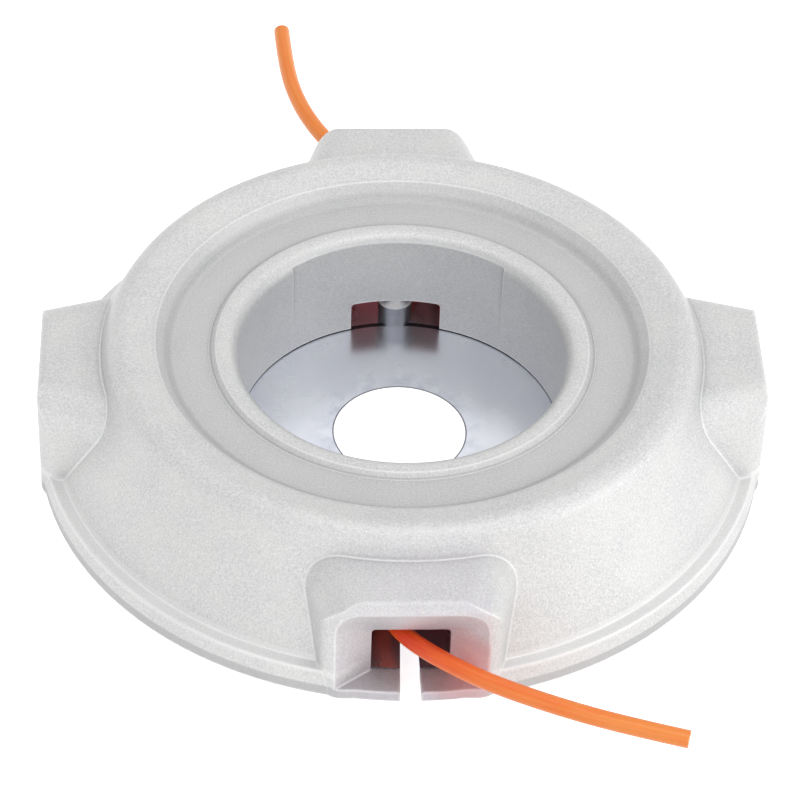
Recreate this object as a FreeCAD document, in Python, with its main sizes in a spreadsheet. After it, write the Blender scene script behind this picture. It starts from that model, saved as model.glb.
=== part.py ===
import FreeCAD, Part
import math
import os
import Sketcher
from FreeCAD import Placement, Rotation, Vector

# Fixed line trimmer head: a cast aluminium dome on a zinc plated steel plate.
# Frame: origin on the head's axis, in the plane of the rim and of the plate's
# outer face. +Z runs along the axis to the dome, which faces the ground in use.
# -Y and +Y are the two line ports. All sizes are in millimetres.

SIZES = [
    # widths from the well outwards
    ("bore_radius", 31.0, "central well, at the plate"),
    ("ring_width", 4.3, "raised ring round the well"),
    ("ring_riser", 1.3, "sloped side of the ring"),
    ("groove_width", 7.4, "floor of the groove"),
    ("groove_wall", 2.7, "sloped outer wall of the groove"),
    ("shoulder_width", 7.7, "from the groove to the ridge"),
    ("skirt_run", 11.8, "from the ridge to the foot of the skirt"),
    ("ledge_width", 2.3, "level ledge at the foot of the skirt"),
    ("rim_run", 0.7, "how far the rim's sloped wall leans out"),
    # heights from the plate's outer face upwards
    ("rim_height", 2.1, "upright wall of the rim, and floor of the line ports"),
    ("rim_rise", 3.1, "sloped wall of the rim, up to the ledge"),
    ("skirt_rise", 23.4, "height of the skirt"),
    ("shoulder_drop", 2.2, "from the ridge down to the groove's edge"),
    ("groove_depth", 2.8, "from that edge down to the groove's floor"),
    ("ring_step", 0.9, "height of the ring over that floor"),
    # roundings of the dome
    ("lip_fillet", 3.0, "mouth of the well"),
    ("groove_fillet", 2.2, "hollow at the foot of the groove's wall"),
    ("ridge_fillet", 4.0, "ridge"),
    # stretches of the well's wall that lean back over the ports
    ("bore_relief", 0.6, "how far a stretch leans back, at the mouth"),
    ("relief_angle", 82.0, "width of a stretch, in degrees"),
    # walls under the dome
    ("hub_wall", 4.0, "wall round the well"),
    ("top_wall", 4.0, "wall under the groove"),
    ("cavity_inset", 2.5, "from the ridge in to the edge of the cavity's ceiling"),
    ("seat_width", 3.0, "ledge that the plate's edge sits on"),
    ("foot_chamfer", 0.4, "foot of the well's wall, over the plate"),
    # four blocks
    ("block_width", 31.2, "width of a block at its flat outer end"),
    ("block_taper", 0.3, "how much each side steps out, per length inwards"),
    ("block_sink", 5.3, "from the ridge down to the level top of a block"),
    ("block_fillet", 7.0, "rounding of a block's two long top edges"),
    ("block_end_fillet", 1.5, "rounding of its end edge"),
    ("block_corner", 4.5, "rounding of its two upright corners"),
    ("block_count", 4, "blocks round the head"),
    ("core_wall", 4.0, "wall left round the core of a blind block"),
    # two line ports
    ("mouth_wall", 1.5, "block left beside the flared mouth"),
    ("mouth_cover", 2.3, "block left over the mouth, at its end"),
    ("mouth_fillet", 5.0, "upper corners of the mouth"),
    ("throat_width", 14.2, "inner end of the flare"),
    ("throat_rise", 10.3, "height of the throat over the plate"),
    ("throat_fillet", 0.8, "upper corners of the throat and the channel"),
    ("window_width", 17.6, "channel where it opens into the well"),
    ("window_rise", 6.5, "height of that window over the plate"),
    ("duct_wall", 3.0, "walls of the channel"),
    ("slot_width", 4.0, "drain slot at the rim"),
    ("slot_end_width", 3.0, "drain slot at its inner end"),
    ("slot_length", 15.2, "drain slot, in from the rim"),
    ("port_count", 2, "line ports round the head"),
    # steel plate, posts and screws
    ("plate_inset", 6.2, "from the rim in to the plate's edge"),
    ("plate_thickness", 2.0, "steel plate"),
    ("plate_gap", 0.3, "between the plate's edge and the casting"),
    ("arbor_radius", 12.7, "hole for a one inch arbor"),
    ("post_setback", 2.9, "from the well's wall back to the middle of a post"),
    ("post_radius", 3.3, "line post"),
    ("post_spigot_radius", 1.4, "spigot that locates a post in its cast boss"),
    ("post_spigot_height", 1.6, "height of that spigot"),
    ("post_boss_radius", 3.5, "foot of the cast boss over a post"),
    ("post_boss_drop", 1.7, "how far that foot hangs below the window's ceiling"),
    ("post_boss_top_radius", 2.5, "top of that boss"),
    ("post_boss_height", 2.2, "height of the boss, to where it runs out in the wall"),
    ("post_screw_radius", 2.0, "M4 screw up into a post"),
    ("post_screw_length", 6.0, "M4 screw, over its head"),
    ("plate_screw_radius", 2.5, "M5 screw through the plate"),
    ("plate_screw_length", 12.0, "M5 screw, over its head"),
    ("plate_screw_inset", 14.0, "from the plate's edge in to an M5 screw"),
    ("plate_screw_boss", 5.5, "radius of a screw boss under the dome"),
    ("plate_screw_count", 4, "M5 screws round the plate"),
    ("hole_gap", 0.1, "radial gap round a screw or spigot"),
    ("screw_tip_gap", 1.0, "left over a plate screw's end in its blind hole"),
    ("post_tip_gap", 0.6, "left over a post screw's end, and over the spigot"),
    ("head_land", 0.4, "plate left under the cone of a screw head"),
    ("drive_ratio", 0.6, "hexagon recess radius over shank radius"),
    ("drive_depth", 1.3, "depth of the hexagon recess"),
    # trimmer line
    ("line_diameter", 3.3, "nylon trimmer line"),
]

doc = FreeCAD.newDocument("trimmer_head")
sheet = doc.addObject("Spreadsheet::Sheet", "Sizes")
for row, (alias, value, note) in enumerate(SIZES, start=1):
    sheet.set(f"A{row}", note)
    sheet.set(f"B{row}", str(value))
    sheet.setAlias(f"B{row}", alias)
doc.recompute()


class Size:
    """A length that holds its value and the expression that gives it."""

    def __init__(self, value, text):
        self.value = value
        self.text = text

    def join(self, other, sign, value):
        return Size(value, f"({self.text} {sign} {as_size(other).text})")

    def __add__(self, other):
        return self.join(other, "+", self.value + as_size(other).value)

    def __sub__(self, other):
        return self.join(other, "-", self.value - as_size(other).value)

    def __mul__(self, other):
        return self.join(other, "*", self.value * as_size(other).value)

    def __truediv__(self, other):
        return self.join(other, "/", self.value / as_size(other).value)

    def __neg__(self):
        return Size(-self.value, f"(0 - {self.text})")


def as_size(number):
    return number if isinstance(number, Size) else Size(number, str(number))


def cell(alias):
    return Size(float(sheet.get(alias)), f"Sizes.{alias}")


ZERO = Size(0.0, "0")

# Radii, from the well outwards.
ring_radius = cell("bore_radius") + cell("ring_width")
groove_inner = ring_radius + cell("ring_riser")
groove_outer = groove_inner + cell("groove_width")
shoulder_radius = groove_outer + cell("groove_wall")
ridge_radius = shoulder_radius + cell("shoulder_width")
skirt_foot_radius = ridge_radius + cell("skirt_run")
ledge_radius = skirt_foot_radius + cell("ledge_width")
rim_radius = ledge_radius + cell("rim_run")
plate_radius = rim_radius - cell("plate_inset")
recess_radius = plate_radius + cell("plate_gap")
cavity_inner = cell("bore_radius") + cell("hub_wall")
cavity_outer = ridge_radius - cell("cavity_inset")
cavity_foot = recess_radius - cell("seat_width")
post_centre = cell("bore_radius") + cell("post_setback")
screw_centre = plate_radius - cell("plate_screw_inset")

# Heights, from the plate's outer face upwards.
plate_top = cell("plate_thickness")
ledge_top = cell("rim_height") + cell("rim_rise")
ridge_top = ledge_top + cell("skirt_rise")
shoulder_top = ridge_top - cell("shoulder_drop")
groove_floor = shoulder_top - cell("groove_depth")
ring_top = groove_floor + cell("ring_step")
cavity_top = groove_floor - cell("top_wall")
block_top = ridge_top - cell("block_sink")
mouth_top = block_top - cell("mouth_cover")
throat_top = plate_top + cell("throat_rise")
window_top = plate_top + cell("window_rise")
boss_foot = window_top - cell("post_boss_drop")
head_height = plate_top - cell("head_land")

# How far a cutting outline reaches past the surface that it cuts.
MARGIN = 1.0
# Features in the order they are made, each with whether it adds material.
made = []


def bind(thing, name, size):
    """Give a property its value and tie it to the sheet."""
    thing.setExpression(name, size.text)


def origin_feature(body, role):
    return [one for one in body.Origin.OriginFeatures if one.Role == role][0]


def new_body(label):
    body = doc.addObject("PartDesign::Body", label)
    body.Label = label
    return body


def new_sketch(body, name, plane, offset=None):
    """A sketch on one of the body's own planes, moved along its normal."""
    sketch = body.newObject("Sketcher::SketchObject", name)
    sketch.AttachmentSupport = (origin_feature(body, plane), [""])
    sketch.MapMode = "FlatFace"
    if offset is not None:
        sketch.AttachmentOffset = Placement(Vector(0, 0, offset.value), Rotation())
        bind(sketch, "AttachmentOffset.Base.z", offset)
    return sketch


def tie(sketch, kind, parts, size):
    index = sketch.addConstraint(Sketcher.Constraint(kind, *parts, size.value))
    bind(sketch, f"Constraints[{index}]", size)


def place_point(sketch, geometry, end, across, up):
    """Dimension one point from the sketch's origin."""
    for kind, size, axis in (("DistanceX", across, -2), ("DistanceY", up, -1)):
        if size is ZERO:
            sketch.addConstraint(Sketcher.Constraint("PointOnObject", geometry, end, axis))
        else:
            tie(sketch, kind, (-1, 1, geometry, end), size)


def draw_circle(sketch, across, up, radius):
    centre = Vector(across.value, up.value, 0)
    circle = sketch.addGeometry(Part.Circle(centre, Vector(0, 0, 1), radius.value), False)
    place_point(sketch, circle, 3, across, up)
    tie(sketch, "Radius", (circle,), radius)


def draw_outline(sketch, corners):
    """A closed outline through corners of (across, up) or (across, up, rounding)."""
    points = [Vector(one[0].value, one[1].value, 0) for one in corners]
    rounding = [one[2] if len(one) > 2 else None for one in corners]
    count = len(corners)
    cut = []
    for i, point in enumerate(points):
        before = (points[i - 1] - point).normalize()
        after = (points[(i + 1) % count] - point).normalize()
        half = before.getAngle(after) / 2
        trim = rounding[i].value / math.tan(half) if rounding[i] else 0.0
        cut.append((before, after, half, trim))
    lines = []
    for i, point in enumerate(points):
        j = (i + 1) % count
        start = point + cut[i][1] * cut[i][3]
        end = points[j] + cut[j][0] * cut[j][3]
        lines.append(sketch.addGeometry(Part.LineSegment(start, end), False))
    for i, point in enumerate(points):
        line_in, line_out = lines[i - 1], lines[i]
        across, up = corners[i][0], corners[i][1]
        if rounding[i] is None:
            sketch.addConstraint(Sketcher.Constraint("Coincident", line_in, 2, line_out, 1))
            place_point(sketch, line_out, 1, across, up)
            continue
        before, after, half, trim = cut[i]
        radius = rounding[i].value
        centre = point + (before + after).normalize() * (radius / math.sin(half))
        first = point + before * trim - centre
        last = point + after * trim - centre
        turns_left = first.cross(last).z > 0
        low, high = (first, last) if turns_left else (last, first)
        circle = Part.Circle(centre, Vector(0, 0, 1), radius)
        low_angle = math.atan2(low.y, low.x)
        high_angle = math.atan2(high.y, high.x)
        arc = sketch.addGeometry(Part.ArcOfCircle(circle, low_angle, high_angle), False)
        in_end, out_end = (1, 2) if turns_left else (2, 1)
        sketch.addConstraint(Sketcher.Constraint("Tangent", line_in, 2, arc, in_end))
        sketch.addConstraint(Sketcher.Constraint("Tangent", line_out, 1, arc, out_end))
        tie(sketch, "Radius", (arc,), rounding[i])
        corner = sketch.addGeometry(Part.Point(point), True)
        sketch.addConstraint(Sketcher.Constraint("PointOnObject", corner, 1, line_in))
        sketch.addConstraint(Sketcher.Constraint("PointOnObject", corner, 1, line_out))
        place_point(sketch, corner, 1, across, up)


def feature(body, kind, name, adds):
    """Add a feature and remember whether it has to add or remove material."""
    one = body.newObject(f"PartDesign::{kind}", name)
    made.append((one, adds))
    return one


def revolve(body, kind, name, sketch, angle=None):
    one = feature(body, kind, name, kind == "Revolution")
    one.Profile = sketch
    one.ReferenceAxis = (sketch, ["V_Axis"])
    one.Angle = 360
    if angle is not None:
        one.Midplane = True
        bind(one, "Angle", angle)
    return one


def pad(body, name, sketch, length):
    one = feature(body, "Pad", name, True)
    one.Profile = sketch
    bind(one, "Length", length)
    return one


def pocket(body, name, sketch, length, reverse=False):
    one = feature(body, "Pocket", name, False)
    one.Profile = sketch
    one.Reversed = reverse
    bind(one, "Length", length)
    return one


def loft_cut(body, name, first, last):
    one = feature(body, "SubtractiveLoft", name, False)
    one.Profile = first
    one.Sections = [last]
    one.Ruled = True
    return one


def repeat(body, name, originals, count, adds):
    """Copy features round the Z axis."""
    one = feature(body, "PolarPattern", name, adds)
    one.Originals = originals
    one.Axis = (origin_feature(body, "Z_Axis"), [""])
    one.Angle = 360
    bind(one, "Occurrences", count)
    body.Tip = one
    return one


def rectangle(left, right, low, high, rounding=None):
    """Corners of an upright rectangle, its upper two rounded."""
    upper = (rounding,) if rounding else ()
    return [(left, low), (right, low), (right, high) + upper, (left, high) + upper]


# Cast body

def dome(body):
    """The turned outside of the casting, solid underneath."""
    sketch = new_sketch(body, "DomeSection", "XZ_Plane")
    draw_outline(sketch, [
        (cell("bore_radius"), ZERO),
        (rim_radius, ZERO),
        (rim_radius, cell("rim_height")),
        (ledge_radius, ledge_top),
        (skirt_foot_radius, ledge_top),
        (ridge_radius, ridge_top, cell("ridge_fillet")),
        (shoulder_radius, shoulder_top),
        (groove_outer, groove_floor, cell("groove_fillet")),
        (groove_inner, groove_floor),
        (ring_radius, ring_top),
        (cell("bore_radius"), ring_top, cell("lip_fillet")),
    ])
    revolve(body, "Revolution", "Dome", sketch)


def bore_relief(body):
    """Two stretches of the well's wall that lean back towards its mouth."""
    sketch = new_sketch(body, "ReliefSection", "YZ_Plane")
    inside = cell("bore_radius") - MARGIN
    top = ring_top + MARGIN
    draw_outline(sketch, [
        (inside, plate_top),
        (cell("bore_radius"), plate_top),
        (cell("bore_radius") + cell("bore_relief"), top),
        (inside, top),
    ])
    cut = revolve(body, "Groove", "Relief", sketch, cell("relief_angle"))
    repeat(body, "Reliefs", [cut], cell("port_count"), False)


def block_side(body, name, side):
    """Cut one tapered side of a block, with its long rounded top edge."""
    sketch = new_sketch(body, name + "Outline", "XZ_Plane", ledge_radius)
    half = cell("block_width") * side / 2
    turn = -side * math.degrees(math.atan(cell("block_taper").value))
    sketch.AttachmentOffset = Placement(Vector(half.value, 0, ledge_radius.value),
                                        Rotation(Vector(0, 1, 0), turn))
    bind(sketch, "AttachmentOffset.Base.x", half)
    sketch.setExpression("AttachmentOffset.Rotation.Angle", f"{-side} * atan(Sizes.block_taper)")
    inner = cell("block_fillet") * -2 * side
    outer = cell("block_width") * side
    draw_outline(sketch, [
        (ZERO, ZERO - MARGIN),
        (ZERO, block_top, cell("block_fillet")),
        (inner, block_top),
        (inner, block_top + MARGIN),
        (outer, block_top + MARGIN),
        (outer, ZERO - MARGIN),
    ])
    cut = pocket(body, name, sketch, (ledge_radius - shoulder_radius) * 3)
    cut.Midplane = True
    return cut


def blocks(body):
    """Four blocks that narrow outwards to a flat end, made before the dome."""
    half = cell("block_width") / 2
    root_half = half + (ledge_radius - shoulder_radius) * cell("block_taper")
    root = new_sketch(body, "BlockRoot", "XZ_Plane", shoulder_radius)
    draw_outline(root, rectangle(-root_half, root_half, ZERO, block_top))
    block = pad(body, "Block", root, ledge_radius - shoulder_radius)
    left = block_side(body, "BlockLeft", -1)
    right = block_side(body, "BlockRight", 1)
    depth = cell("block_corner") * 2
    inner_half = half + depth * cell("block_taper")
    plan = new_sketch(body, "BlockPlan", "XY_Plane")
    draw_outline(plan, [
        (inner_half, depth - ledge_radius),
        (half, -ledge_radius, cell("block_corner")),
        (-half, -ledge_radius, cell("block_corner")),
        (-inner_half, depth - ledge_radius),
        (-inner_half - MARGIN, depth - ledge_radius),
        (-inner_half - MARGIN, -ledge_radius - MARGIN),
        (inner_half + MARGIN, -ledge_radius - MARGIN),
        (inner_half + MARGIN, depth - ledge_radius),
    ])
    corners = pocket(body, "BlockCorners", plan, block_top, reverse=True)
    section = new_sketch(body, "BlockEdgeOutline", "YZ_Plane")
    depth = cell("block_end_fillet") * 2
    draw_outline(section, [
        (depth - ledge_radius, block_top + MARGIN),
        (depth - ledge_radius, block_top),
        (-ledge_radius, block_top, cell("block_end_fillet")),
        (-ledge_radius, block_top - depth),
        (-ledge_radius - MARGIN, block_top - depth),
        (-ledge_radius - MARGIN, block_top + MARGIN),
    ])
    edge = pocket(body, "BlockEdge", section, root_half * 2)
    edge.Midplane = True
    repeat(body, "Blocks", [block, left, right, corners, edge], cell("block_count"), True)


def underside(body):
    """The recess for the plate and the ring shaped cavity over it."""
    sketch = new_sketch(body, "CavitySection", "XZ_Plane")
    draw_outline(sketch, [
        (cell("bore_radius") - MARGIN, ZERO - MARGIN),
        (recess_radius, ZERO - MARGIN),
        (recess_radius, plate_top),
        (cavity_foot, plate_top),
        (cavity_outer, cavity_top),
        (cavity_inner, cavity_top),
        (cavity_inner, plate_top),
        (cell("bore_radius") + cell("foot_chamfer"), plate_top),
        (cell("bore_radius"), plate_top + cell("foot_chamfer")),
        (cell("bore_radius") - MARGIN, plate_top + cell("foot_chamfer")),
    ])
    revolve(body, "Groove", "Cavity", sketch)


def blind_block_cores(body):
    """The two blocks without ports are cored from below."""
    half = cell("block_width") / 2 - cell("core_wall")
    sketch = new_sketch(body, "CoreOutline", "XY_Plane", plate_top)
    draw_outline(sketch, rectangle(cavity_outer, recess_radius - MARGIN, -half, half))
    depth = block_top - cell("core_wall") - plate_top
    core = pocket(body, "Core", sketch, depth, reverse=True)
    repeat(body, "Cores", [core], cell("port_count"), False)


def ducts(body):
    """Solid ribs under the dome that the line channels run through."""
    half = cell("window_width") / 2 + cell("duct_wall")
    sketch = new_sketch(body, "DuctOutline", "XY_Plane", plate_top)
    root = cell("bore_radius") + cell("hub_wall") / 2
    draw_outline(sketch, rectangle(-half, half, -(cavity_foot + MARGIN), -root))
    duct = pad(body, "Duct", sketch, throat_top + cell("duct_wall") - plate_top)
    repeat(body, "Ducts", [duct], cell("port_count"), True)


def post_bosses(body):
    """A tapered boss over each line post, half sunk in the well's wall."""
    boss = feature(body, "AdditiveCone", "PostBoss", True)
    bind(boss, "Radius1", cell("post_boss_radius"))
    bind(boss, "Radius2", cell("post_boss_top_radius"))
    bind(boss, "Height", cell("post_boss_height"))
    bind(boss, "Placement.Base.y", -post_centre)
    bind(boss, "Placement.Base.z", boss_foot)
    repeat(body, "PostBosses", [boss], cell("port_count"), True)


def channels(body):
    """Each port: a flared mouth, then a channel that widens to the well."""
    half_mouth = cell("block_width") / 2 - cell("mouth_wall")
    half_throat = cell("throat_width") / 2
    half_window = cell("window_width") / 2
    mouth = new_sketch(body, "MouthOutline", "XZ_Plane", ledge_radius)
    draw_outline(mouth, rectangle(-half_mouth, half_mouth, cell("rim_height"), mouth_top,
                                  cell("mouth_fillet")))
    throat = new_sketch(body, "ThroatOutline", "XZ_Plane", recess_radius)
    draw_outline(throat, rectangle(-half_throat, half_throat, cell("rim_height"), throat_top,
                                   cell("throat_fillet")))
    front = pocket(body, "MouthFront", mouth, cell("rim_run") + MARGIN, reverse=True)
    flare = loft_cut(body, "Flare", mouth, throat)
    entry = new_sketch(body, "ChannelEntry", "XZ_Plane", recess_radius)
    draw_outline(entry, rectangle(-half_throat, half_throat, plate_top, throat_top,
                                  cell("throat_fillet")))
    window = new_sketch(body, "ChannelWindow", "XZ_Plane", post_centre)
    draw_outline(window, rectangle(-half_window, half_window, plate_top, window_top,
                                   cell("throat_fillet")))
    channel = loft_cut(body, "Channel", entry, window)
    opening = pocket(body, "Window", window, post_centre - cell("arbor_radius"))
    repeat(body, "Ports", [front, flare, channel, opening], cell("port_count"), False)


def drain_slot(body, name):
    """A slot from the rim inwards, under the mouth of a port."""
    far = rim_radius + MARGIN
    near = cell("slot_length") - rim_radius
    sketch = new_sketch(body, name + "Outline", "XY_Plane", ZERO - MARGIN)
    half_far = cell("slot_width") / 2
    half_near = cell("slot_end_width") / 2
    draw_outline(sketch, [
        (-half_far, -far),
        (half_far, -far),
        (half_near, near),
        (-half_near, near),
    ])
    cut = pocket(body, name, sketch, cell("rim_height") + plate_top, reverse=True)
    repeat(body, name + "s", [cut], cell("port_count"), False)


def on_diagonal(distance):
    """A point between two blocks, as its two equal distances from the axes."""
    return distance * math.sqrt(0.5)


def screw_bosses(body):
    """Bosses under the dome for the plate's screws, on the diagonals."""
    sketch = new_sketch(body, "BossOutline", "XY_Plane", plate_top)
    spot = on_diagonal(screw_centre)
    draw_circle(sketch, spot, spot, cell("plate_screw_boss"))
    boss = pad(body, "ScrewBoss", sketch, cavity_top + MARGIN - plate_top)
    repeat(body, "ScrewBosses", [boss], cell("plate_screw_count"), True)


def screw_holes(body):
    """Blind holes for the plate screws and for the spigots of the posts."""
    spot = on_diagonal(screw_centre)
    outer = new_sketch(body, "PlateScrewHole", "XY_Plane", plate_top)
    draw_circle(outer, spot, spot, cell("plate_screw_radius") + cell("hole_gap"))
    depth = cell("plate_screw_length") + cell("screw_tip_gap") - plate_top
    hole = pocket(body, "PlateScrewPocket", outer, depth, reverse=True)
    repeat(body, "PlateScrewPockets", [hole], cell("plate_screw_count"), False)
    inner = new_sketch(body, "SpigotHole", "XY_Plane", boss_foot)
    draw_circle(inner, ZERO, -post_centre, cell("post_spigot_radius") + cell("hole_gap"))
    depth = cell("post_spigot_height") + cell("post_tip_gap")
    hole = pocket(body, "SpigotPocket", inner, depth, reverse=True)
    repeat(body, "SpigotPockets", [hole], cell("port_count"), False)


def cast_body():
    body = new_body("cast_body")
    blocks(body)
    dome(body)
    underside(body)
    bore_relief(body)
    blind_block_cores(body)
    ducts(body)
    screw_bosses(body)
    channels(body)
    post_bosses(body)
    drain_slot(body, "RimSlot")
    screw_holes(body)


# Steel plate, posts and screws

def countersink(body, name, across, up, shank, count):
    """A through hole that opens to a cone on the plate's outer face."""
    narrow = shank + cell("hole_gap")
    cone = feature(body, "SubtractiveCone", name, False)
    bind(cone, "Radius1", narrow + head_height)
    bind(cone, "Radius2", narrow)
    bind(cone, "Height", head_height)
    bind(cone, "Placement.Base.x", across)
    bind(cone, "Placement.Base.y", up)
    repeat(body, name + "s", [cone], count, False)
    sketch = new_sketch(body, name + "Hole", "XY_Plane")
    draw_circle(sketch, across, up, narrow)
    hole = pocket(body, name + "Pocket", sketch, plate_top, reverse=True)
    repeat(body, name + "Pockets", [hole], count, False)


def mounting_plate():
    body = new_body("mounting_plate")
    sketch = new_sketch(body, "PlateOutline", "XY_Plane")
    draw_circle(sketch, ZERO, ZERO, plate_radius)
    draw_circle(sketch, ZERO, ZERO, cell("arbor_radius"))
    pad(body, "Plate", sketch, plate_top)
    spot = on_diagonal(screw_centre)
    countersink(body, "PlateSink", spot, spot, cell("plate_screw_radius"),
                cell("plate_screw_count"))
    countersink(body, "PostSink", ZERO, -post_centre, cell("post_screw_radius"),
                cell("port_count"))
    drain_slot(body, "PlateSlot")


def line_post(label, angle):
    """A turned steel post between the plate and the cast boss over it."""
    body = new_body(label)
    shank = new_sketch(body, label + "_shank", "XY_Plane", plate_top)
    draw_circle(shank, ZERO, -post_centre, cell("post_radius"))
    pad(body, label + "_shank_pad", shank, boss_foot - plate_top)
    spigot = new_sketch(body, label + "_spigot", "XY_Plane", boss_foot)
    draw_circle(spigot, ZERO, -post_centre, cell("post_spigot_radius"))
    pad(body, label + "_spigot_pad", spigot, cell("post_spigot_height"))
    hole = new_sketch(body, label + "_hole", "XY_Plane", plate_top)
    draw_circle(hole, ZERO, -post_centre, cell("post_screw_radius") + cell("hole_gap"))
    depth = cell("post_screw_length") + cell("post_tip_gap") - plate_top
    pocket(body, label + "_thread", hole, depth, reverse=True)
    body.Placement = Placement(Vector(0, 0, 0), Rotation(Vector(0, 0, 1), angle))


def screw(name, across, up, shank, length):
    """A countersunk screw, head down, with a hexagon recess."""
    head = doc.addObject("Part::Cone", name + "_head")
    bind(head, "Radius1", shank + head_height)
    bind(head, "Radius2", shank)
    bind(head, "Height", head_height)
    stem = doc.addObject("Part::Cylinder", name + "_stem")
    bind(stem, "Radius", shank)
    bind(stem, "Height", length)
    solid = doc.addObject("Part::Fuse", name + "_solid")
    solid.Base = head
    solid.Tool = stem
    drive = doc.addObject("Part::Prism", name + "_drive")
    drive.Polygon = 6
    bind(drive, "Circumradius", shank * cell("drive_ratio"))
    bind(drive, "Height", cell("drive_depth"))
    one = doc.addObject("Part::Cut", name)
    one.Base = solid
    one.Tool = drive
    bind(one, "Placement.Base.x", across)
    bind(one, "Placement.Base.y", up)
    return one


def screw_set(label, places, shank, length):
    """Identical screws as one group of separate solids."""
    group = doc.addObject("Part::Compound", label)
    group.Label = label
    group.Links = [screw(f"{label}_{number}", across, up, shank, length)
                   for number, (across, up) in enumerate(places, start=1)]


# Trimmer line

LINE_FRONT = [
    (-1.20, -37.6, 4.9),
    (-3.00, -42.3, 5.8),
    (-4.75, -47.9, 6.9),
    (-4.60, -54.0, 8.1),
    (-1.60, -61.6, 9.4),
    (4.40, -67.4, 9.4),
    (13.00, -72.9, 8.9),
    (23.80, -77.7, 8.3),
    (36.00, -82.2, 7.8),
    (48.20, -85.8, 7.6),
]
LINE_BACK = [
    (-1.20, -37.6, 4.9),
    (-3.00, -42.3, 5.8),
    (-4.75, -47.9, 6.9),
    (-4.60, -54.0, 8.1),
    (-2.40, -61.9, 9.4),
    (2.80, -69.0, 9.7),
    (8.80, -75.4, 9.9),
    (14.00, -81.8, 10.0),
    (18.80, -92.8, 10.3),
    (21.30, -105.0, 10.6),
    (22.10, -117.2, 11.0),
]
# Share of the shorter run that each arc of the line takes up.
ARC_SHARE = 0.45


def line_path(points):
    """Straight runs joined by tangent arcs, with the arcs' radii."""
    pieces = []
    radii = []
    start = points[0]
    for before, here, after in zip(points, points[1:], points[2:]):
        back = (before - here).normalize()
        ahead = (after - here).normalize()
        shorter = min((before - here).Length, (after - here).Length)
        trim = ARC_SHARE * shorter
        half_turn = (math.pi - back.getAngle(ahead)) / 2
        radius = trim / math.tan(half_turn)
        centre = here + (back + ahead).normalize() * (radius / math.cos(half_turn))
        middle = centre + (here - centre).normalize() * radius
        first = here + back * trim
        last = here + ahead * trim
        pieces.append(Part.LineSegment(start, first).toShape())
        pieces.append(Part.Arc(first, middle, last).toShape())
        radii.append(round(radius, 1))
        start = last
    pieces.append(Part.LineSegment(start, points[-1]).toShape())
    return Part.Wire(pieces), radii


def trimmer_line(label, route, angle):
    points = [Vector(*one) for one in route]
    path, radii = line_path(points)
    radius = cell("line_diameter").value / 2
    circle = Part.Circle(points[0], points[1] - points[0], radius)
    section = Part.Wire([circle.toShape()])
    tube = path.makePipeShell([section], True, False)
    line = doc.addObject("Part::Feature", label)
    line.Label = label
    line.Shape = tube
    line.Placement = Placement(Vector(0, 0, 0), Rotation(Vector(0, 0, 1), angle))
    share = tube.Volume / (math.pi * radius * radius * path.Length)
    print(f"{label}: length {path.Length:.1f}, volume over section times length {share:.4f}")
    print(f"{label}: arc radii {radii}")


cast_body()
mounting_plate()
line_post("line_post_front", 0)
line_post("line_post_back", 180)
front = (ZERO, -post_centre)
back = (ZERO, post_centre)
screw_set("post_screws", [front, back], cell("post_screw_radius"), cell("post_screw_length"))
spot = on_diagonal(screw_centre)
corners = [(spot, spot), (-spot, spot), (-spot, -spot), (spot, -spot)]
screw_set("plate_screws", corners, cell("plate_screw_radius"), cell("plate_screw_length"))
trimmer_line("trimmer_line_front", LINE_FRONT, 0)
trimmer_line("trimmer_line_back", LINE_BACK, 180)

NODES = [
    "cast_body",
    "mounting_plate",
    "line_post_front",
    "line_post_back",
    "post_screws",
    "plate_screws",
    "trimmer_line_front",
    "trimmer_line_back",
]

doc.recompute()
for one in doc.Objects:
    if "Invalid" in one.State or "Error" in one.State:
        raise RuntimeError(f"{one.Name} did not build: {one.State}")
for one, adds in made:
    before = one.BaseFeature.Shape.Volume if one.BaseFeature else 0.0
    change = one.Shape.Volume - before
    if (adds and change <= 0) or (not adds and change >= 0):
        raise RuntimeError(f"{one.Name} changed the volume by {change:.2f}")

os.makedirs("parts", exist_ok=True)
for label in NODES:
    shape = doc.getObjectsByLabel(label)[0].Shape
    if shape.isNull() or not shape.isValid() or not shape.Solids:
        raise RuntimeError(f"{label} has no valid solid")
    shape.exportStep(os.path.join("parts", label + ".step"))
    box = shape.BoundBox
    print(f"{label}: {len(shape.Solids)} solid, {shape.Volume:.0f} mm3, "
          f"z {box.ZMin:.2f} to {box.ZMax:.2f}, {len(shape.Faces)} faces")
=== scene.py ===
import math

import bpy
from mathutils import Matrix, Vector


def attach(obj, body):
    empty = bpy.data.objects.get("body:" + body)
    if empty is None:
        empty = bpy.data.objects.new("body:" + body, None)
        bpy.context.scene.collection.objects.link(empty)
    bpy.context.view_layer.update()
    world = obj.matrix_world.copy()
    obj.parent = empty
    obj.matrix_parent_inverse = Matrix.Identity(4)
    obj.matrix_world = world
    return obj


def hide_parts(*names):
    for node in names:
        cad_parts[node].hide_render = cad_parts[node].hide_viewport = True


# Looks of the fixed line trimmer head. All lengths are in metres.

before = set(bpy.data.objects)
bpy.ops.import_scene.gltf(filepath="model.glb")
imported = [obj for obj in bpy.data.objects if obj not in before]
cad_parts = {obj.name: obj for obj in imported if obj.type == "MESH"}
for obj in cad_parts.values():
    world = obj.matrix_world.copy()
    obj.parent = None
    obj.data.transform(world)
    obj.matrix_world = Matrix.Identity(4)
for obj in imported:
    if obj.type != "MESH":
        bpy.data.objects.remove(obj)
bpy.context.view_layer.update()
scene = bpy.context.scene

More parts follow.
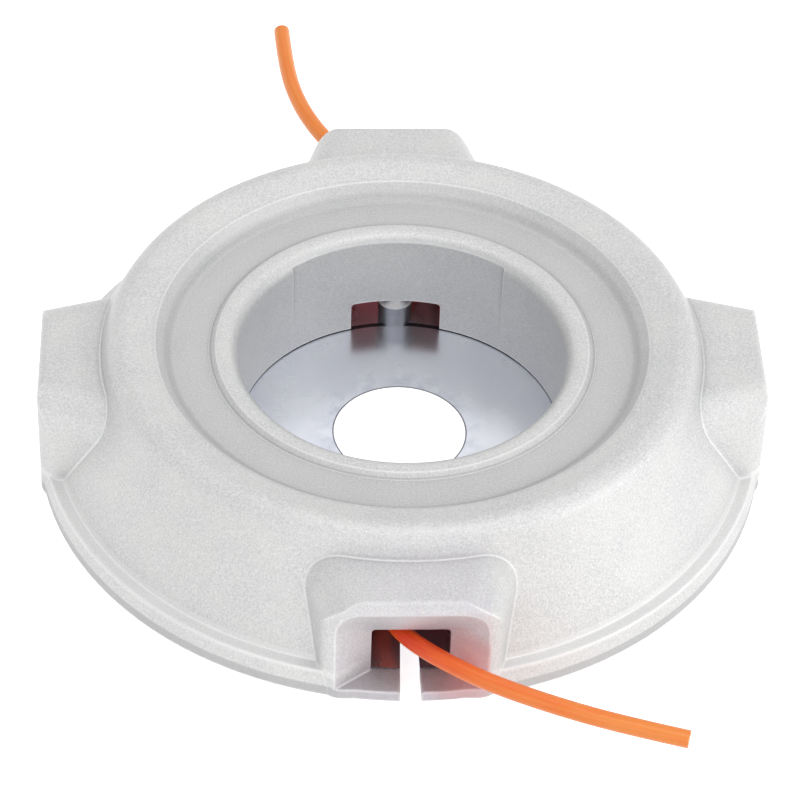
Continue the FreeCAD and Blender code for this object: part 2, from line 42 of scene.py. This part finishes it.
# Camera at the photograph's viewing angle
CAMERA_DISTANCE = 0.7
CAMERA_TARGET = Vector((-0.0001, 0.0002, 0.010))
CAMERA_AZIMUTH = math.radians(-3.0)
CAMERA_ELEVATION = math.radians(42.2)
CAMERA_ROLL = math.radians(1.92)
SENSOR_WIDTH = 36.0
LENS = 164.25


def make_camera():
    """A camera aimed at the target, then turned a little about its own view axis."""
    data = bpy.data.cameras.new("camera")
    data.sensor_width = SENSOR_WIDTH
    data.lens = LENS
    camera = bpy.data.objects.new("camera", data)
    scene.collection.objects.link(camera)
    level = math.cos(CAMERA_ELEVATION)
    back = Vector((
        math.sin(CAMERA_AZIMUTH) * level,
        -math.cos(CAMERA_AZIMUTH) * level,
        math.sin(CAMERA_ELEVATION),
    ))
    aim = (-back).to_track_quat("-Z", "Y").to_matrix().to_4x4()
    place = Matrix.Translation(CAMERA_TARGET + back * CAMERA_DISTANCE)
    camera.matrix_world = place @ aim @ Matrix.Rotation(CAMERA_ROLL, 4, "Z")
    scene.camera = camera


make_camera()

# Trimmer line, one length out of each port
LINE_DIAMETER = 0.0033
LINE_BEVEL_RESOLUTION = 6
LINE_STEPS = 10
LINE_FRONT = [
    (-0.00120, -0.0376, 0.0049),
    (-0.00300, -0.0423, 0.0058),
    (-0.00475, -0.0479, 0.0069),
    (-0.00460, -0.0540, 0.0081),
    (-0.00160, -0.0616, 0.0094),
    (0.00440, -0.0674, 0.0094),
    (0.01300, -0.0729, 0.0089),
    (0.02380, -0.0777, 0.0083),
    (0.03600, -0.0822, 0.0078),
    (0.04820, -0.0858, 0.0076),
]
LINE_BACK = [
    (0.00120, 0.0376, 0.0049),
    (0.00300, 0.0423, 0.0058),
    (0.00475, 0.0479, 0.0069),
    (0.00460, 0.0540, 0.0081),
    (0.00240, 0.0619, 0.0094),
    (-0.00280, 0.0690, 0.0097),
    (-0.00880, 0.0754, 0.0099),
    (-0.01400, 0.0818, 0.0100),
    (-0.01880, 0.0928, 0.0103),
    (-0.02130, 0.1050, 0.0106),
    (-0.02210, 0.1172, 0.0110),
]


def trimmer_line(name, route):
    """A smooth tube along the route, with closed ends."""
    curve = bpy.data.curves.new(name, "CURVE")
    curve.dimensions = "3D"
    # Each point's radius brings a bevel of one metre down to the line's own radius.
    curve.bevel_depth = 1.0
    curve.bevel_resolution = LINE_BEVEL_RESOLUTION
    curve.use_fill_caps = True
    spline = curve.splines.new("NURBS")
    spline.points.add(len(route) - 1)
    for point, place in zip(spline.points, route):
        point.co = (*place, 1.0)
        point.radius = LINE_DIAMETER / 2
    spline.order_u = 3
    spline.use_endpoint_u = True
    spline.resolution_u = LINE_STEPS
    piece = bpy.data.objects.new(name, curve)
    scene.collection.objects.link(piece)
    return piece


line_front = trimmer_line("front_line", LINE_FRONT)
line_back = trimmer_line("back_line", LINE_BACK)
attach(line_front, "root")
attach(line_back, "root")
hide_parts("trimmer_line_front")
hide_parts("trimmer_line_back")

# Sockets of the colour mix node, and samples of the edge and crease nodes
MIX_SHARE, MIX_FIRST, MIX_SECOND, MIX_RESULT = 0, 6, 7, 2
EDGE_SAMPLES = 6


class Nodes:
    """Short calls that add shader nodes to one material."""

    def __init__(self, name):
        self.material = bpy.data.materials.new(name)
        self.material.use_nodes = True
        self.tree = self.material.node_tree
        self.shader = self.tree.nodes["Principled BSDF"]

    def link(self, source, target):
        self.tree.links.new(source, target)

    def add(self, kind, **settings):
        node = self.tree.nodes.new(kind)
        for name, value in settings.items():
            setattr(node, name, value)
        return node

    def set(self, name, value):
        """Give a shader input a socket, a number or a colour."""
        target = self.shader.inputs[name]
        if isinstance(value, bpy.types.NodeSocket):
            self.link(value, target)
        elif isinstance(value, tuple):
            target.default_value = (*value, 1.0)
        else:
            target.default_value = value

    def place(self):
        return self.add("ShaderNodeTexCoord").outputs["Object"]

    def noise(self, size, detail=2.0, roughness=0.5, vector=None):
        """Noise whose features are about size metres across."""
        node = self.add("ShaderNodeTexNoise")
        node.inputs["Scale"].default_value = 1.0 / size
        node.inputs["Detail"].default_value = detail
        node.inputs["Roughness"].default_value = roughness
        self.link(vector or self.place(), node.inputs["Vector"])
        return node.outputs["Fac"]

    def remap(self, value, low, high, to_low, to_high):
        node = self.add("ShaderNodeMapRange")
        node.inputs["From Min"].default_value = low
        node.inputs["From Max"].default_value = high
        node.inputs["To Min"].default_value = to_low
        node.inputs["To Max"].default_value = to_high
        self.link(value, node.inputs["Value"])
        return node.outputs["Result"]

    def rise(self, value, low, high, top=1.0):
        """0 up to low, then rising to top at high."""
        return self.remap(value, low, high, 0.0, top)

    def below(self, value, limit, soft):
        """1 up to the limit, then falling to 0 over the soft range."""
        return self.remap(value, limit, limit + soft, 1.0, 0.0)

    def between(self, value, low, high, soft):
        """1 where the value is between two limits, with soft ends."""
        return self.times(self.rise(value, low - soft, low), self.below(value, high, soft))

    def math(self, operation, first, second=0.0):
        node = self.add("ShaderNodeMath", operation=operation)
        for slot, value in enumerate((first, second)):
            if isinstance(value, float):
                node.inputs[slot].default_value = value
            else:
                self.link(value, node.inputs[slot])
        return node.outputs["Value"]

    def times(self, first, second):
        return self.math("MULTIPLY", first, second)

    def length(self, first, second):
        """Length of a flat vector with these two parts."""
        squares = self.math("ADD", self.times(first, first), self.times(second, second))
        return self.math("SQRT", squares)

    def mix(self, share, first, second):
        """Blend of two colours, each a socket or three numbers."""
        node = self.add("ShaderNodeMix", data_type="RGBA")
        self.link(share, node.inputs[MIX_SHARE])
        for slot, value in ((MIX_FIRST, first), (MIX_SECOND, second)):
            if isinstance(value, tuple):
                node.inputs[slot].default_value = (*value, 1.0)
            else:
                self.link(value, node.inputs[slot])
        return node.outputs[MIX_RESULT]

    def bump(self, height, distance, strength, under=None):
        node = self.add("ShaderNodeBump")
        node.inputs["Strength"].default_value = strength
        node.inputs["Distance"].default_value = distance
        self.link(height, node.inputs["Height"])
        if under is not None:
            self.link(under, node.inputs["Normal"])
        return node.outputs["Normal"]

    def crease(self, distance):
        """How enclosed a point is: 0 in the open, 1 deep in a corner."""
        node = self.add("ShaderNodeAmbientOcclusion", samples=EDGE_SAMPLES, only_local=True)
        node.inputs["Distance"].default_value = distance
        return self.math("SUBTRACT", 1.0, node.outputs["AO"])

    def rounded(self, radius):
        """The normal of edges rounded by radius, and how far it leans from the flat one."""
        node = self.add("ShaderNodeBevel", samples=EDGE_SAMPLES)
        node.inputs["Radius"].default_value = radius
        dot = self.add("ShaderNodeVectorMath", operation="DOT_PRODUCT")
        self.link(node.outputs["Normal"], dot.inputs[0])
        self.link(self.add("ShaderNodeNewGeometry").outputs["Normal"], dot.inputs[1])
        return node.outputs["Normal"], self.math("SUBTRACT", 1.0, dot.outputs["Value"])

    def axes(self):
        node = self.add("ShaderNodeSeparateXYZ")
        self.link(self.place(), node.inputs[0])
        return node.outputs

    def axis_distance(self):
        """Distance from the head's axis."""
        across, along, _ = self.axes()
        return self.length(across, along)

    def nearness(self, centre, reach):
        """1 at a point of the object, fading to 0 at a distance of reach."""
        node = self.add("ShaderNodeVectorMath", operation="DISTANCE")
        self.link(self.place(), node.inputs[0])
        node.inputs[1].default_value = centre
        return self.below(node.outputs["Value"], 0.0, reach)


# Cast aluminium: blasted skin, its grain and painted glints
WHITE = (1.0, 1.0, 1.0)
CAST_DARK = (0.565, 0.57, 0.575)
CAST_LIGHT = (0.63, 0.63, 0.625)
CAST_GRAIN = (0.80, 0.80, 0.795)
MOTTLE_SIZE = 0.010
GRAIN_SIZE = 0.00040
PIT_SIZE = 0.0012
GLINT_SIZE = 0.00028
GRAIN_DEPTH = 0.00010

# Bands of painted shade round the axis: inner and outer radius, softness, share, tone
SHADE_BANDS = (
    # Ring's riser, groove and the groove's outer wall
    (0.0358, 0.0464, 0.0012, 0.30, (0.40, 0.40, 0.405)),
    # Foot of the groove's outer wall
    (0.0441, 0.0446, 0.0008, 0.28, (0.26, 0.26, 0.27)),
    # Well
    (0.0, 0.0319, 0.0008, 0.30, (0.36, 0.36, 0.375)),
    # Foot of the ring's riser
    (0.0363, 0.0367, 0.0002, 0.40, (0.22, 0.22, 0.23)),
)

# Painted shade on the rim's lower side, the crown inside the ridge, and painted light on the
# ledge round the skirt
RIM_TOP, RIM_SOFT = 0.0021, 0.0002
RIM_SHADE_TONE = (0.34, 0.34, 0.35)
CROWN_RADIUS, CROWN_SOFT = 0.052, 0.005
CROWN_FOOT, CROWN_TOP = 0.0205, 0.0222
LEDGE_LOW, LEDGE_HIGH, LEDGE_SOFT = 0.0048, 0.0060, 0.0004
LEDGE_INNER, LEDGE_OUTER = 0.0650, 0.0660
LEDGE_LIGHT_TONE = (0.95, 0.95, 0.945)

# Painted shade in hollows and corners, and painted highlights on edges
HOLLOW_REACH = 0.006
HOLLOW_SHADE_TONE = (0.26, 0.26, 0.27)
CORNER_REACH = 0.0012
CORNER_SHADE_TONE = (0.20, 0.20, 0.21)
EDGE_RADIUS = 0.0007

# Painted purplish shade and a painted reddish reflection of the orange line inside the front
# port's mouth
MOUTH_HALF_WIDTH, MOUTH_SOFT = 0.0139, 0.0003
MOUTH_SHADE_CENTRE, MOUTH_SHADE_REACH = (0.006, -0.068, 0.008), 0.030
MOUTH_SHADE_TONE = (0.66, 0.58, 0.70)
LINE_REFLECTION_CENTRE, LINE_REFLECTION_REACH = (0.0100, -0.0660, 0.0060), 0.0095
LINE_REFLECTION_TONE = (0.84, 0.30, 0.27)

# Painted dark red shade in the channels, under a ceiling that climbs outwards, kept off the bare
# boss over each post
CHANNEL_HALF_WIDTH, CHANNEL_SIDE_SOFT = 0.0090, 0.0004
CHANNEL_START, CHANNEL_END, CHANNEL_END_SOFT = 0.0314, 0.0600, 0.0003
CHANNEL_CEILING, CHANNEL_CEILING_SOFT, CHANNEL_SLOPE = 0.0046, 0.0002, 0.13
POST_SETBACK = 0.0339
BOSS_INNER, BOSS_OUTER = 0.0036, 0.0038
CHANNEL_SHADE_TONE = (0.34, 0.020, 0.030)
CAST_METALLIC, CHANNEL_SHADE_METALLIC = 0.36, 0.85


def channel_shade_mask(nodes, radius, middle):
    """1 on the walls of the channels from the windows to the mouths, where dark red shade is
    painted, 0 elsewhere.
    """
    across, along, up = nodes.axes()
    setback = nodes.math("SUBTRACT", nodes.math("ABSOLUTE", along), POST_SETBACK)
    off_boss = nodes.rise(nodes.length(across, setback), BOSS_INNER, BOSS_OUTER)
    sides = nodes.below(middle, CHANNEL_HALF_WIDTH, CHANNEL_SIDE_SOFT)
    ends = nodes.between(radius, CHANNEL_START, CHANNEL_END, CHANNEL_END_SOFT)
    height = nodes.math("SUBTRACT", up, nodes.times(radius, CHANNEL_SLOPE))
    ceiling = nodes.below(height, CHANNEL_CEILING, CHANNEL_CEILING_SOFT)
    return nodes.times(nodes.times(nodes.times(sides, ends), ceiling), off_boss)


def cast_aluminium():
    """Blasted casting: grain with painted glints, soft edges with painted highlights, painted
    shade in hollows, painted dark red shade in the channels.
    """
    nodes = Nodes("cast_aluminium")
    radius = nodes.axis_distance()
    across, _, up = nodes.axes()
    mottle = nodes.noise(MOTTLE_SIZE, detail=4.0)
    grain = nodes.noise(GRAIN_SIZE, detail=3.0, roughness=0.7)
    pits = nodes.noise(PIT_SIZE)
    # Painted glints: white specks on the grain.
    painted_glints = nodes.rise(nodes.noise(GLINT_SIZE, detail=1.0), 0.66, 0.76, top=0.8)
    soft_normal, edge = nodes.rounded(EDGE_RADIUS)

    tone = nodes.mix(nodes.rise(mottle, 0.35, 0.65), CAST_DARK, CAST_LIGHT)
    tone = nodes.mix(nodes.rise(grain, 0.34, 0.66), tone, CAST_GRAIN)
    tone = nodes.mix(painted_glints, tone, WHITE)
    # Painted shade in bands round the axis.
    for inner, outer, soft, share, shade_tone in SHADE_BANDS:
        band = nodes.between(radius, inner, outer, soft)
        tone = nodes.mix(nodes.times(band, share), tone, shade_tone)
    # Painted shade on the rim's lower side.
    tone = nodes.mix(nodes.times(nodes.below(up, RIM_TOP, RIM_SOFT), 0.5), tone, RIM_SHADE_TONE)

    # Painted shade gathers in hollows and corners, fully on the crown and less on the skirt and
    # its blocks.
    crown = nodes.math("MAXIMUM", nodes.below(radius, CROWN_RADIUS, CROWN_SOFT),
                       nodes.rise(up, CROWN_FOOT, CROWN_TOP))
    hollow_shade = nodes.times(nodes.rise(nodes.crease(HOLLOW_REACH), 0.10, 0.8, top=0.8),
                         nodes.remap(crown, 0.0, 1.0, 0.35, 1.0))
    tone = nodes.mix(hollow_shade, tone, HOLLOW_SHADE_TONE)
    corner_shade = nodes.times(nodes.rise(nodes.crease(CORNER_REACH), 0.05, 0.4, top=0.8), crown)
    tone = nodes.mix(corner_shade, tone, CORNER_SHADE_TONE)
    # Painted highlight along edges and junctions, where the rounded normal leans.
    tone = nodes.mix(nodes.rise(edge, 0.004, 0.06, top=0.9), tone, WHITE)
    # Painted light on the ledge round the skirt's foot.
    ledge_light = nodes.times(nodes.between(up, LEDGE_LOW, LEDGE_HIGH, LEDGE_SOFT),
                        nodes.rise(radius, LEDGE_INNER, LEDGE_OUTER, top=0.35))
    tone = nodes.mix(ledge_light, tone, LEDGE_LIGHT_TONE)

    middle = nodes.math("ABSOLUTE", across)
    mouth = nodes.below(middle, MOUTH_HALF_WIDTH, MOUTH_SOFT)
    # Painted purplish shade in the front port's mouth.
    mouth_shade = nodes.times(nodes.nearness(MOUTH_SHADE_CENTRE, MOUTH_SHADE_REACH),
                       nodes.remap(pits, 0.3, 0.7, 0.1, 0.7))
    tone = nodes.mix(nodes.times(mouth_shade, mouth), tone, MOUTH_SHADE_TONE)
    # Painted reddish reflection of the orange line on the mouth's floor.
    line_reflection = nodes.times(nodes.nearness(LINE_REFLECTION_CENTRE, LINE_REFLECTION_REACH), mouth)
    tone = nodes.mix(nodes.times(line_reflection, 0.75), tone, LINE_REFLECTION_TONE)
    # Painted dark red shade on the channel walls.
    channel = channel_shade_mask(nodes, radius, middle)
    tone = nodes.mix(nodes.times(channel, 0.95), tone, CHANNEL_SHADE_TONE)

    nodes.set("Base Color", tone)
    nodes.set("Metallic", nodes.remap(channel, 0.0, 1.0, CAST_METALLIC, CHANNEL_SHADE_METALLIC))
    nodes.set("Roughness", nodes.remap(grain, 0.3, 0.7, 0.38, 0.58))
    coarse = nodes.bump(pits, GRAIN_DEPTH, 0.4, under=soft_normal)
    nodes.set("Normal", nodes.bump(grain, GRAIN_DEPTH, 0.85, under=coarse))
    return nodes.material


# Zinc plate: clouds in the plating, and stains that thin out from the arbor hole
ZINC_BLUE = (0.80, 0.83, 0.92)
ZINC_LIGHT = (0.89, 0.91, 0.97)
CLOUD_SIZE = 0.012
STAIN_SIZE = 0.0030
SCRATCH_SIZE, SCRATCH_DEPTH = 0.0005, 0.00001
WORN_RADIUS, WORN_SOFT = 0.0130, 0.0060
WORN_TONE = (0.42, 0.46, 0.58)

# The hole's dark edge, painted shadow in the seam under the well's wall, and the bare cut wall
# of the hole
HOLE_EDGE = (0.01275, 0.01295, 0.0001)
HOLE_EDGE_TONE = (0.20, 0.21, 0.25)
WELL_SEAM = (0.0311, 0.0320, 0.0001)
WELL_SEAM_SHADE_TONE = (0.10, 0.10, 0.12)
HOLE_WALL, HOLE_WALL_SOFT = 0.01272, 0.00002
HOLE_WALL_TONE = (0.97, 0.97, 0.97)


def zinc_plate():
    """Bright zinc on rolled steel: bluish clouds, a worn ring round the bare cut hole."""
    nodes = Nodes("zinc_plate")
    cloud = nodes.noise(CLOUD_SIZE)
    radius = nodes.axis_distance()
    tone = nodes.mix(nodes.rise(cloud, 0.2, 0.8), ZINC_BLUE, ZINC_LIGHT)
    stain = nodes.rise(nodes.noise(STAIN_SIZE, detail=3.0), 0.40, 0.70, top=0.5)
    worn = nodes.times(nodes.below(radius, WORN_RADIUS, WORN_SOFT), stain)
    tone = nodes.mix(worn, tone, WORN_TONE)
    tone = nodes.mix(nodes.between(radius, *HOLE_EDGE), tone, HOLE_EDGE_TONE)
    # Painted shadow in the seam under the well's wall.
    tone = nodes.mix(nodes.between(radius, *WELL_SEAM), tone, WELL_SEAM_SHADE_TONE)
    tone = nodes.mix(nodes.below(radius, HOLE_WALL, HOLE_WALL_SOFT), tone, HOLE_WALL_TONE)
    nodes.set("Base Color", tone)
    nodes.set("Metallic", 0.9)
    nodes.set("Roughness", nodes.remap(cloud, 0.2, 0.8, 0.20, 0.32))
    nodes.set("Normal", nodes.bump(nodes.noise(SCRATCH_SIZE), SCRATCH_DEPTH, 0.3))
    return nodes.material


# Plated steel of the posts and screws
STEEL_DARK = (0.20, 0.205, 0.23)
STEEL_LIGHT = (0.34, 0.345, 0.37)
STEEL_CLOUD_SIZE, STEEL_DEPTH = 0.002, 0.00002


def plated_steel():
    """Dull plated steel with small clouds."""
    nodes = Nodes("steel_hardware")
    cloud = nodes.noise(STEEL_CLOUD_SIZE, detail=3.0)
    nodes.set("Base Color", nodes.mix(cloud, STEEL_DARK, STEEL_LIGHT))
    nodes.set("Metallic", 0.9)
    nodes.set("Roughness", nodes.remap(cloud, 0.3, 0.7, 0.30, 0.45))
    nodes.set("Normal", nodes.bump(cloud, STEEL_DEPTH, 0.3))
    return nodes.material


# Nylon: painted shade makes it deeper orange in the port and paler outside, each with lighter
# streaks of painted highlight
NYLON_CLOUD_SIZE = 0.006
PORT_SHADE_ORANGE = ((0.76, 0.030, 0.002), (0.96, 0.090, 0.006))
PALE_ORANGE = ((0.98, 0.22, 0.024), (0.99, 0.29, 0.040))
PORT_SHADE_HIGHLIGHT, PALE_HIGHLIGHT = (1.0, 0.18, 0.020), (1.0, 0.36, 0.075)
PALE_START, PALE_END = 0.064, 0.082
STREAK_STRETCH = (5.0, 9.0, 1.0)
DRAWN_DEPTH = 0.00008


def nylon():
    """Orange nylon, slightly translucent, with painted shade near the port and bumped streaks
    along it, lightened as painted highlight.
    """
    nodes = Nodes("nylon_line")
    cloud = nodes.noise(NYLON_CLOUD_SIZE)
    _, along, _ = nodes.axes()
    outer = nodes.rise(nodes.math("ABSOLUTE", along), PALE_START, PALE_END)
    streak_coords = nodes.add("ShaderNodeMapping")
    streak_coords.inputs["Scale"].default_value = STREAK_STRETCH
    nodes.link(nodes.add("ShaderNodeTexCoord").outputs["UV"], streak_coords.inputs["Vector"])
    streak = nodes.rise(nodes.noise(1.0, detail=1.0, vector=streak_coords.outputs["Vector"]), 0.35, 0.65)
    # Painted shade: deeper orange nearer the port.
    tone = nodes.mix(outer, nodes.mix(cloud, *PORT_SHADE_ORANGE), nodes.mix(cloud, *PALE_ORANGE))
    highlight_streak = nodes.mix(outer, PORT_SHADE_HIGHLIGHT, PALE_HIGHLIGHT)
    # Painted highlight: lighter streaks along the line, which also bump it.
    nodes.set("Base Color", nodes.mix(nodes.times(streak, 0.6), tone, highlight_streak))
    nodes.set("Roughness", 0.34)
    nodes.set("Subsurface Weight", 0.30)
    nodes.set("Subsurface Scale", 0.0015)
    nodes.shader.inputs["Subsurface Radius"].default_value = (1.0, 0.35, 0.12)
    nodes.set("Normal", nodes.bump(streak, DRAWN_DEPTH, 0.4))
    return nodes.material


def dress(name, material):
    """Give a CAD node its finished material in every slot."""
    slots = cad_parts[name].data.materials
    slots.clear()
    slots.append(material)


steel = plated_steel()
orange = nylon()
dress("cast_body", cast_aluminium())
dress("mounting_plate", zinc_plate())
for name in ("line_post_front", "line_post_back", "post_screws", "plate_screws"):
    dress(name, steel)
line_front.data.materials.append(orange)
line_back.data.materials.append(orange)

# Floor, world and lamps
FLOOR_SIZE = 6.0
FLOOR_HEIGHT = -0.0001
FLOOR_TONE = (0.9, 0.9, 0.9)
FLOOR_GLOW = 0.72
WORLD_LIGHT = 0.62
WORLD_SEEN = 1.0
LAMPS = (
    ("right_box", (0.9, -0.35, 0.42), 0.5, 2.5),
    ("top_box", (0.12, -0.10, 1.05), 0.35, 1.7),
    ("front_box", (-0.35, -0.95, 0.45), 0.5, 1.1),
)


def seen_rays(tree):
    """1 for the rays that show the background itself, 0 for those that light the head."""
    rays = tree.nodes.new("ShaderNodeLightPath")
    seen = rays.outputs["Is Camera Ray"]
    for kind in ("Is Glossy Ray", "Is Transmission Ray"):
        either = tree.nodes.new("ShaderNodeMath")
        either.operation = "MAXIMUM"
        tree.links.new(seen, either.inputs[0])
        tree.links.new(rays.outputs[kind], either.inputs[1])
        seen = either.outputs["Value"]
    return seen


def make_floor():
    """A pale floor just under the head, which glows only where it is seen."""
    bpy.ops.mesh.primitive_plane_add(size=FLOOR_SIZE, location=(0.0, 0.0, FLOOR_HEIGHT))
    floor = bpy.context.object
    floor.name = "floor"
    nodes = Nodes("floor")
    nodes.set("Base Color", FLOOR_TONE)
    nodes.set("Roughness", 0.9)
    nodes.set("Emission Color", WHITE)
    nodes.set("Emission Strength", nodes.times(seen_rays(nodes.tree), FLOOR_GLOW))
    floor.data.materials.append(nodes.material)


def make_world():
    """A white world, which lights the head less than it shows."""
    world = bpy.data.worlds.new("studio")
    world.use_nodes = True
    scene.world = world
    tree = world.node_tree
    background = tree.nodes["Background"]
    level = tree.nodes.new("ShaderNodeMapRange")
    level.inputs["To Min"].default_value = WORLD_LIGHT
    level.inputs["To Max"].default_value = WORLD_SEEN
    tree.links.new(seen_rays(tree), level.inputs["Value"])
    tree.links.new(level.outputs["Result"], background.inputs["Strength"])
    background.inputs["Color"].default_value = (*WHITE, 1.0)


def make_lamp(name, place, size, power):
    """A square soft box aimed at the middle of the head."""
    data = bpy.data.lights.new(name, "AREA")
    data.size = size
    data.energy = power
    lamp = bpy.data.objects.new(name, data)
    scene.collection.objects.link(lamp)
    lamp.location = place
    lamp.rotation_mode = "QUATERNION"
    lamp.rotation_quaternion = (CAMERA_TARGET - Vector(place)).to_track_quat("-Z", "Y")


make_floor()
make_world()
for lamp in LAMPS:
    make_lamp(*lamp)
scene.view_settings.view_transform = "Standard"
